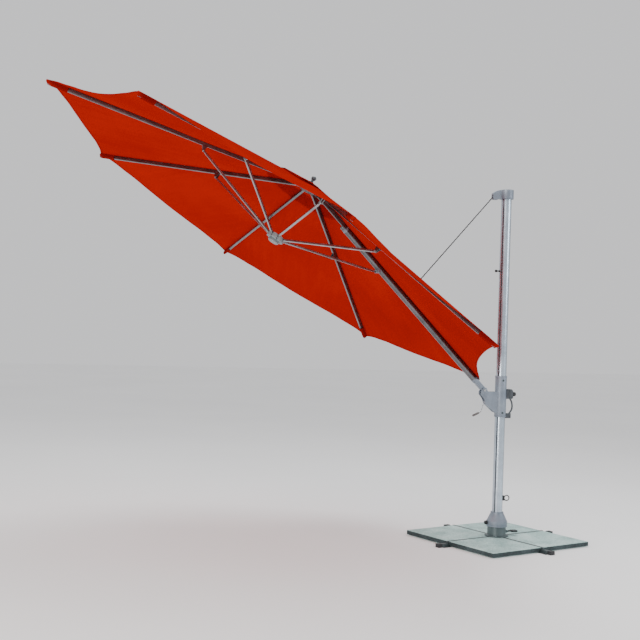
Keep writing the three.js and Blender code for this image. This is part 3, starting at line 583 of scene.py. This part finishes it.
panelShape = {
    "inner": canopy["ventOpening"],
    "outer": cornerRadius,
    "sag": canopy["rimSag"],
    "rise": canopy["rise"],
    "belly": canopy["belly"],
    "droop": canopy["droop"],
    "crease": canopy["crease"],
    "rows": 34,
    "columns": 16,
}
ventShape = {
    "inner": 0.070,
    "outer": canopy["ventRadius"],
    "sag": 0.006,
    "rise": canopy["ventRise"],
    "belly": 0.003,
    "droop": 0.0,
    "crease": 0.0,
    "rows": 6,
    "columns": 8,
}


def gathered(piece):
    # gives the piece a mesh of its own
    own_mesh(piece)


for k in range(spokeCount):
    panel, panelArea, panelFlat = fabricSheet(f"canopy_sheet_{k}", k, panelShape)
    settle(panel, ribBody(k), f"canopy_panel_{k}")
    gathered(panel)

    vent, ventArea, ventFlat = fabricSheet(f"vent_sheet_{k}", k, ventShape)
    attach(vent, ribBody(k))
    gathered(vent)
print("canopy laid over", spokeCount, "ribs")

crownDisc = {
    "radius": 0.100,
    "hole": 0.010,
    "flatWithin": 0.036,
    "rise": 0.0016,
    "rings": 6,
    "steps": 64,
    "stitchedRun": 0.6,
    "ringRun": 0.015,
}


def crownPatch():
    # a round patch, lockstitched over the point where the vent's seams meet
    radius, steps, rings = crownDisc["radius"], crownDisc["steps"], crownDisc["rings"]
    flat = ribFall * crownDisc["flatWithin"]
    verts, faces, uvs = [], [], []
    for ring in range(rings + 1):
        for step in range(steps):
            angle = 2 * math.pi * step / steps
            r = crownDisc["hole"] + (radius - crownDisc["hole"]) * ring / rings
            folded = (angle + halfSector) % (2 * halfSector) - halfSector
            fall = ribFall * r * math.cos(abs(folded) - halfSector) / math.cos(halfSector)
            height = canopy["ventRise"] - max(flat, fall) + crownDisc["rise"]
            verts.append((r * math.cos(angle), r * math.sin(angle), height))
            uvs.append((step / steps * crownDisc["stitchedRun"], ring * crownDisc["ringRun"]))
    for ring in range(rings):
        for step in range(steps):
            a, b = ring * steps + step, ring * steps + (step + 1) % steps
            faces.append((a, a + steps, b + steps, b))
    patch = newPiece("crown_patch", verts, faces, [seamRed])
    layer = patch.data.uv_layers.new(name="flat")
    for loop in patch.data.loops:
        layer.data[loop.index].uv = uvs[loop.vertex_index]
    patch.data.transform(spokeFrame(0))
    settle(patch, "crown", "vent_cap")


crownPatch()

pocket = {
    "length": 0.150,
    "halfWidth": 0.0145,
    "top": 0.0296,
    "low": -0.0075,
    "tip": 0.016,
    "mouth": 0.004,
    "turnIn": 0.020,
    "flatWidth": 0.1,
    "sideSteps": 12,
}


def ribPocket(k, ribEnd):
    # a doubled fabric sleeve on the cloth's corner that the rib's end slips into; it runs to a point
    mouth = ribEnd - pocket["length"]
    # place along the rib, share of the full width, and lift of the underside
    sections = [
        (mouth, 1.0, 0.0),
        (mouth + pocket["mouth"], 1.07, -0.0010),
        (ribEnd - 0.030, 1.0, -0.0005),
        (ribEnd - 0.002, 0.9, 0.003),
        (ribEnd + pocket["tip"], 0.3, 0.024),
    ]
    outline = []
    for step in range(pocket["sideSteps"] + 1):
        angle = math.pi * step / pocket["sideSteps"]
        outline.append((-math.cos(angle), math.sin(angle) ** 0.5))
    verts, faces, uvs = [], [], []
    for x, widen, lift in sections:
        depth = pocket["low"] + lift - pocket["top"]
        for side, deep in outline:
            verts.append((x, side * pocket["halfWidth"] * widen, pocket["top"] + depth * deep))
            uvs.append((x, side * 0.02))
    count = len(outline)
    for i in range(len(sections) - 1):
        for j in range(count - 1):
            a = i * count + j
            faces.append((a, a + count, a + count + 1, a + 1))
    faces.append(tuple(range((len(sections) - 1) * count, len(sections) * count)))
    piece = newPiece(f"rib_pocket_{k}", verts, faces, [clothRed])
    layer = piece.data.uv_layers.new(name="flat")
    for loop in piece.data.loops:
        layer.data[loop.index].uv = uvs[loop.vertex_index]
    piece.data.transform(ribFrame(k))
    smoothByAngle(piece.data, 50)
    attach(piece, f"rib_{k}")


for k in range(1, spokeCount):
    ribPocket(k, nodeSpan(f"rib_{k}", ribFrame(k))[1])

# ribs, struts and hubs

rivet = {
    "radius": 0.0055,
    "rise": 0.003,
    "dome": ((1, 0), (1, 0.3), (0.86, 0.7), (0.55, 0.94), (0.1, 1)),
}


def rivetPair(name, body, matrix, place, half, material):
    # domed rivet heads on both sides of a clevis
    along = matrix.to_3x3() @ Vector((1, 0, 0))
    profile = [(rivet["radius"] * wide, rivet["rise"] * high) for wide, high in rivet["dome"]]
    for side, label in ((1, "left"), (-1, "right")):
        spot = matrix @ Vector((place[0], side * half, place[1]))
        out = matrix.to_3x3() @ Vector((0, side, 0))
        head = turnedPiece(f"{name}_{label}", profile, material, toFrame(spot, along, out), 20, 50)
        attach(head, body)


strutPivot = {"along": 0.794, "drop": -0.036, "half": 0.0122}
for k in range(spokeCount):
    softened(f"strut_{k}", strutMetal, 0.0016)
    if k:
        softened(f"rib_{k}", ribMetalInShade, 0.0018)
    where = (strutPivot["along"], strutPivot["drop"])
    rivetPair(f"rivet_{k}", ribBody(k), ribFrame(k), where, strutPivot["half"], brightSteel)
softened("crown_hub", darkNylon, 0.0015)
softened("lower_hub", greyNylon, 0.0015)
softened("finial", darkNylon, 0.0010)
softened("boom_neck", ribMetalInShade, 0.0020)
softened("boom_clevis", castMetal, 0.0012)
softened("rope_eye", brightSteel, 0.0008)
softened("boom_foot", castMetal, 0.0018)
print("ribs, struts and hubs done")

# boom tube with the sleeve that steps it down

boomFrame = ribFrame(0)
tubeStart, tubeEnd = nodeSpan("boom_tube", boomFrame)
turnAlong = Matrix.Rotation(math.pi / 2, 4, "Y")


boomSize = {
    "radius": 0.027,
    "wall": 0.003,
    "lip": 0.0006,
    "bandLength": 0.020,
    "bandEase": 0.001,
}


def boomTube():
    radius, lip, ease = boomSize["radius"], boomSize["lip"], boomSize["bandEase"]
    bore = radius - boomSize["wall"]
    profile = [
        (bore, tubeStart),
        (radius - lip, tubeStart),
        (radius, tubeStart + lip),
        (radius, tubeEnd - lip),
        (radius - lip, tubeEnd),
        (bore, tubeEnd),
    ]
    tube = turnedPiece("boom_tube_drawn", profile, ribMetalInShade, boomFrame @ turnAlong, 64)
    settle(tube, "boom", "boom_tube")
    bandEnd = tubeStart + boomSize["bandLength"]
    bandProfile = [
        (radius, tubeStart - ease),
        (radius + lip, tubeStart),
        (radius + lip, bandEnd),
        (radius, bandEnd + ease),
    ]
    band = turnedPiece("boom_step_band", bandProfile, castMetal, boomFrame @ turnAlong, 64)
    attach(band, "boom")


boomTube()
softened("boom_pin", brightSteel, 0.0010)

# mast, collar and head

mast = {
    "radius": 0.041,
    "grooveAngles": [math.radians(angle) for angle in (35, 145, 215, 325)],
    "grooveHalf": 0.0048,
    "grooveDepth": 0.0045,
    "lip": 0.0007,
    "chamfer": 0.0007,
    "facet": math.radians(4),
}


def mastOutline():
    # a round section with four T-grooves, each with a rounded lip
    points, radius, lip = [], mast["radius"], mast["lip"]
    half = mast["grooveHalf"] / radius
    edge = half + lip / radius
    cuts = mast["grooveAngles"]
    for centre, following in zip(cuts, cuts[1:] + [cuts[0] + 2 * math.pi]):
        points.append((centre - edge, radius, 0))
        points.append((centre - half - 0.3 * lip / radius, radius - 0.3 * lip, 0))
        points.append((centre - half, radius - lip, 0))
        points.append((centre - half, radius - mast["grooveDepth"], 1))
        points.append((centre + half, radius - mast["grooveDepth"], 1))
        points.append((centre + half, radius - lip, 1))
        points.append((centre + half + 0.3 * lip / radius, radius - 0.3 * lip, 0))
        span = following - centre - 2 * edge
        steps = max(2, round(span / mast["facet"]))
        points += [(centre + edge + span * step / steps, radius, 0) for step in range(steps)]
    return points


def mastTube():
    low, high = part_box("mast_tube")
    outline = mastOutline()
    count = len(outline)
    chamfer = mast["chamfer"]
    levels = [(low[2], chamfer), (low[2] + chamfer, 0), (high[2] - chamfer, 0), (high[2], chamfer)]
    verts, faces, faceMaterials = [], [], []
    for height, inset in levels:
        verts += [
            ((radius - inset) * math.cos(angle), (radius - inset) * math.sin(angle), height)
            for angle, radius, _ in outline
        ]
    for level in range(len(levels) - 1):
        for index in range(count):
            a, b = level * count + index, level * count + (index + 1) % count
            faces.append((a, b, b + count, a + count))
            # groove faces take the dark material, painted shade in the grooves
            inGroove = outline[index][2] or outline[(index + 1) % count][2]
            faceMaterials.append(1 if inGroove else 0)
    faces.append(tuple(reversed(range(count))))
    faces.append(tuple(range((len(levels) - 1) * count, len(levels) * count)))
    faceMaterials += [0, 0]
    tube = newPiece("mast_tube_drawn", verts, faces, [mastMetal, grooveShadeMetal], faceMaterials)
    smoothByAngle(tube.data, 35)
    settle(tube, "post", "mast_tube")


collar = {"gap": 0.0004, "neckWall": 0.011, "beltDepth": 0.0022}


def turnCollar():
    # a belted drum below and a smooth cone up to the neck
    low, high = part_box("turn_collar")
    z, top = low[2], high[2]
    outer = (high[0] - low[0]) / 2
    bore = mast["radius"] + collar["gap"]
    neck = mast["radius"] + collar["neckWall"]
    belt = outer - collar["beltDepth"]
    profile = [
        (bore, z),
        (outer - 0.002, z),
        (outer, z + 0.002),
        (outer, z + 0.014),
        (belt, z + 0.0155),
        (belt, z + 0.0185),
        (outer, z + 0.020),
        (outer, z + 0.043),
        (outer - 0.0015, z + 0.046),
        (outer - 0.005, z + 0.0495),
        (neck + 0.006, top - 0.021),
        (neck + 0.001, top - 0.014),
        (neck, top - 0.010),
        (neck, top - 0.002),
        (neck - 0.002, top),
        (bore, top),
    ]
    turned = turnedPiece("turn_collar_cast", profile, castMetal, Matrix.Identity(4), 96, 24)
    settle(turned, "post", "turn_collar")


mastTube()
turnCollar()
softened("mast_head", castMetal, 0.0022)
softened("head_pulley", greyNylon, 0.0006)
softened("hook_knob", blackAbs, 0.0010)
softened("cleat_ring", blackAbs, 0.0008, 40)
print("mast done")

# bracket, winch, handle and crank

softened("boom_bracket", castMetal, 0.0015)
softened("winch_housing", darkNylon, 0.0030)
softened("winch_knob", blackAbs, 0.0012)
softened("grab_handle", darkNylon, 0.0015, 40)
softened("crank_arm", brightSteel, 0.0004, 50)
softened("crank_grip", gripPlastic, 0.0010)
softened("clamp_knob", blackAbs, 0.0015)
softened("foot_pedal", blackAbs, 0.0020)


screwShape = {
    "washer": ((1.5, 0), (1.5, 0.16), (0.4, 0.2)),
    "head": ((1, 0.16), (1, 0.78), (0.84, 0.9), (0.2, 0.92)),
}


def capScrew(name, body, spot, out, radius, material):
    # a low hexagon head on a washer
    spot, out = Vector(spot), Vector(out)
    place = toFrame(spot, out.orthogonal().normalized(), out)
    for part, steps, sharp in (("washer", 28, 40), ("head", 6, 25)):
        profile = [(radius * wide, radius * high) for wide, high in screwShape[part]]
        piece = turnedPiece(f"{name}_{part}", profile, material, place, steps, sharp)
        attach(piece, body)


def gripFlutes(name, body, node, axis, count, depth, material):
    # raised flutes round a knob, so that fingers hold it
    low, high = (Vector(corner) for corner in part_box(node))
    axisVector = Vector(axis)
    span = abs((high - low).dot(axisVector)) / 2
    radius = min(high - low) / 2
    side = axisVector.orthogonal().normalized()
    spin = toFrame((low + high) / 2, side, axisVector)
    profile = [
        (depth * 0.5, -span * 0.32),
        (depth, -span * 0.25),
        (depth, span * 0.6),
        (depth * 0.5, span * 0.7),
    ]
    for index in range(count):
        angle = 2 * math.pi * index / count
        spot = spin @ Vector((radius * math.cos(angle), radius * math.sin(angle), 0))
        flute = turnedPiece(f"{name}_{index}", profile, material, toFrame(spot, side, axisVector), 12, 60)
        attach(flute, body)


sleeve = {
    "radius": 0.0465,
    "beadRise": 0.0018,
    "beadWidth": 0.012,
    "screwRadius": 0.0055,
    "screwOut": 0.0468,
    "screwHeights": (0.035, 0.295),
}
bracketLow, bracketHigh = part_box("boom_bracket")
for index, height in enumerate(sleeve["screwHeights"]):
    for side, label in ((-1, "screw"), (1, "screw_back")):
        capScrew(
            f"bracket_{label}_{index}",
            "post",
            (0, side * sleeve["screwOut"], bracketLow[2] + height),
            (0, side, 0),
            sleeve["screwRadius"],
            darkSteelAndGapShade,
        )

winchScrew = {"radius": 0.004, "fromFront": 0.030, "fromEdge": 0.012}
winchLow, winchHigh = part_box("winch_housing")
winchHeights = (winchLow[2] + winchScrew["fromEdge"], winchHigh[2] - winchScrew["fromEdge"])
for index, height in enumerate(winchHeights):
    for side, label in ((-1, "near"), (1, "far")):
        capScrew(
            f"winch_screw_{index}_{label}",
            "post",
            (winchHigh[0] - winchScrew["fromFront"], side * winchHigh[1], height),
            (0, side, 0),
            winchScrew["radius"],
            darkSteelAndGapShade,
        )


def bracketSleeveRings():
    # rolled beads at the two ends of the sleeve
    inner, outer = sleeve["radius"] - 0.001, sleeve["radius"] + sleeve["beadRise"]
    width = sleeve["beadWidth"]
    for label, z in (("low", bracketLow[2]), ("high", bracketHigh[2] - width)):
        profile = [(inner, z), (outer, z + 0.001), (outer, z + width - 0.001), (inner, z + width)]
        bead = turnedPiece(f"sleeve_bead_{label}", profile, castMetal, Matrix.Identity(4), 72, 24)
        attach(bead, "post")


bracketSleeveRings()
gripFlutes("winch_flute", "winch", "winch_knob", (1, 0, 0), 8, 0.0018, blackAbs)
gripFlutes("clamp_flute", "clamp", "clamp_knob", (-1, 0, 0), 8, 0.0016, blackAbs)
print("bracket, winch and crank done")

# hoist rope

rope = {"lay": 0.034, "sides": 16, "swell": 0.0008, "strands": 3, "ring": 0.004}


def hoistRope():
    # a twisted cord: its section has three strands that wind along it
    swing, pay = joints["rope_swing"], joints["rope_pay"]
    ropeWay = Vector(pay["axis"]).normalized()
    ropeFrame = toFrame(swing["pos_m"], ropeWay, Vector((0, 1, 0)).cross(ropeWay) * -1)
    start, end = nodeSpan("tilt_rope", ropeFrame)
    inverse = ropeFrame.inverted() @ nodes["tilt_rope"].matrix_world
    heights = [(inverse @ vertex.co).z for vertex in nodes["tilt_rope"].data.vertices]
    height = (min(heights) + max(heights)) / 2
    radius = (max(heights) - min(heights)) / 2
    rings = int((end - start) / rope["ring"])
    verts, faces, uvs = [], [], []
    for ring in range(rings + 1):
        x = start + (end - start) * ring / rings
        twist = 2 * math.pi * x / (rope["strands"] * rope["lay"])
        for side in range(rope["sides"]):
            angle = 2 * math.pi * side / rope["sides"]
            r = radius - rope["swell"] * (1 - math.cos(rope["strands"] * (angle - twist)))
            verts.append((x, r * math.cos(angle), height + r * math.sin(angle)))
            uvs.append((x, side / rope["sides"] * rope["lay"]))
    for ring in range(rings):
        for side in range(rope["sides"]):
            a, b = ring * rope["sides"] + side, ring * rope["sides"] + (side + 1) % rope["sides"]
            faces.append((a, a + rope["sides"], b + rope["sides"], b))
    cord = newPiece("hoist_rope", verts, faces, [cordMaterial])
    layer = cord.data.uv_layers.new(name="flat")
    for loop in cord.data.loops:
        layer.data[loop.index].uv = uvs[loop.vertex_index]
    cord.data.transform(ropeFrame)
    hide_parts("tilt_rope")
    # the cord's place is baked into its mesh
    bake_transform(cord)


hoistRope()
softened("rope_clevis", brightSteel, 0.0006)
softened("rope_ferrule", brightSteel, 0.0006)

# base: frame, slabs, caps and socket

# the frame's webs fill the gaps between the slabs; their dark colour is partly painted shade there
softened("cross_frame", darkSteelAndGapShade, 0.0018)
softened("base_socket", socketSteel, 0.0015)
for index in range(1, 5):
    softened(f"end_cap_{index}", blackAbs, 0.0030)


def pavingSlab(index):
    # the washed face is pale, and the pressed sides get a much darker copy of the concrete as painted shade
    slab = softened(f"slab_{index}", slabFace, 0.0015)
    slab.data.materials.append(slabSideShade)
    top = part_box(f"slab_{index}")[1][2]
    for polygon in slab.data.polygons:
        height = (slab.matrix_world @ polygon.center).z
        # side faces below the top take the darker concrete, painted shade
        if abs(polygon.normal.z) < 0.6 and height < top - 0.001:
            polygon.material_index = 1


for index in range(1, 5):
    pavingSlab(index)

# the bolts sit halfway between the arms of the cross, which is turned under the mast
plateBolt = {"radius": 0.0055, "circle": 0.086, "plateTop": 0.0485, "crossYaw": 18.7}
for index in range(4):
    angle = math.radians(plateBolt["crossYaw"] + 45 + 90 * index)
    reach = plateBolt["circle"]
    spot = (reach * math.cos(angle), reach * math.sin(angle), plateBolt["plateTop"])
    capScrew(f"plate_bolt_{index}", "base", spot, (0, 0, 1), plateBolt["radius"], brightSteel)
print("base done")

# stage, light and camera


floorSize = {"half": 30, "drop": 0.0005}


def paleFloor():
    half = floorSize["half"]
    verts = [(-half, -half, 0), (half, -half, 0), (half, half, 0), (-half, half, 0)]
    # matt studio paint, all but white, with the faintest clouding
    material, tree = newMaterial("studioFloorPaint")
    clouding = {"Scale": 0.4, "Detail": 2.0}
    mottle = addNode(tree, "ShaderNodeTexNoise", None, clouding, {"Vector": placeOf(tree)})
    paint = addNode(
        tree,
        "ShaderNodeBsdfPrincipled",
        None,
        {"Roughness": 0.9, "Specular IOR Level": 0.2},
        {"Base Color": colourRamp(tree, mottle.outputs["Fac"], [(0.3, "#f7f7f7"), (0.7, "#fbfbfb")])},
    )
    closeMaterial(tree, paint)
    floor = newPiece("studio_floor", verts, [(0, 1, 2, 3)], [material], smooth=False)
    floor.location.z = -floorSize["drop"]


lights = {
    "keyLight": {
        "place": (-5.5, -6.0, 6.5), "aim": (-1.2, 0, 1.4), "size": 3.5, "power": 420, "colour": "#fffaf4",
    },
    "skyLight": {
        "place": (-0.5, 2.5, 7.0), "aim": (-1.6, 0, 2.5), "size": 3.0, "power": 220, "colour": "#ffffff",
    },
    "sideLight": {
        "place": (4.5, -3.5, 3.0), "aim": (0, 0, 1.2), "size": 2.0, "power": 90, "colour": "#f4f8ff",
    },
    "underLight": {
        "place": (-7.0, -6.5, 1.2), "aim": (-1.6, 0, 2.6), "size": 2.0, "power": 200, "colour": "#fffaf6",
    },
}


def softLight(name, lamp):
    data = bpy.data.lights.new(name, "AREA")
    data.shape = "SQUARE"
    data.size = lamp["size"]
    data.energy = lamp["power"]
    data.color = linearColour(lamp["colour"])[:3]
    light = bpy.data.objects.new(name, data)
    light.location = lamp["place"]
    way = Vector(lamp["aim"]) - Vector(lamp["place"])
    light.rotation_euler = way.to_track_quat("-Z", "Y").to_euler()
    bpy.context.collection.objects.link(light)


def studioWorld():
    world = bpy.data.worlds.new("studio")
    world.use_nodes = True
    world.node_tree.nodes.clear()
    tree = world.node_tree
    daylight = {"Color": linearColour("#fdfdff"), "Strength": 0.85}
    background = addNode(tree, "ShaderNodeBackground", None, daylight)
    addNode(tree, "ShaderNodeOutputWorld", links={"Surface": background.outputs[0]})
    bpy.context.scene.world = world


camera = {
    "place": (-3.867, -8.320, 1.737),
    "forward": (0.2702, 0.9628, 0.0),
    "roll": math.radians(1.74),
    "lens": 63.1,
    "sensor": 36,
    "sight": 100,
}


def addCamera():
    data = bpy.data.cameras.new("view")
    data.lens = camera["lens"]
    data.sensor_width = camera["sensor"]
    data.clip_end = camera["sight"]
    forward = Vector(camera["forward"]).normalized()
    level = forward.cross(Vector((0, 0, 1))).normalized()
    right = level * math.cos(camera["roll"]) + Vector((0, 0, 1)) * math.sin(camera["roll"])
    up = right.cross(forward)
    turn = Matrix((right, up, -forward)).transposed().to_4x4()
    eye = bpy.data.objects.new("view", data)
    eye.matrix_world = Matrix.Translation(camera["place"]) @ turn
    bpy.context.collection.objects.link(eye)
    bpy.context.scene.camera = eye


paleFloor()
studioWorld()
for name, lamp in lights.items():
    softLight(name, lamp)
addCamera()
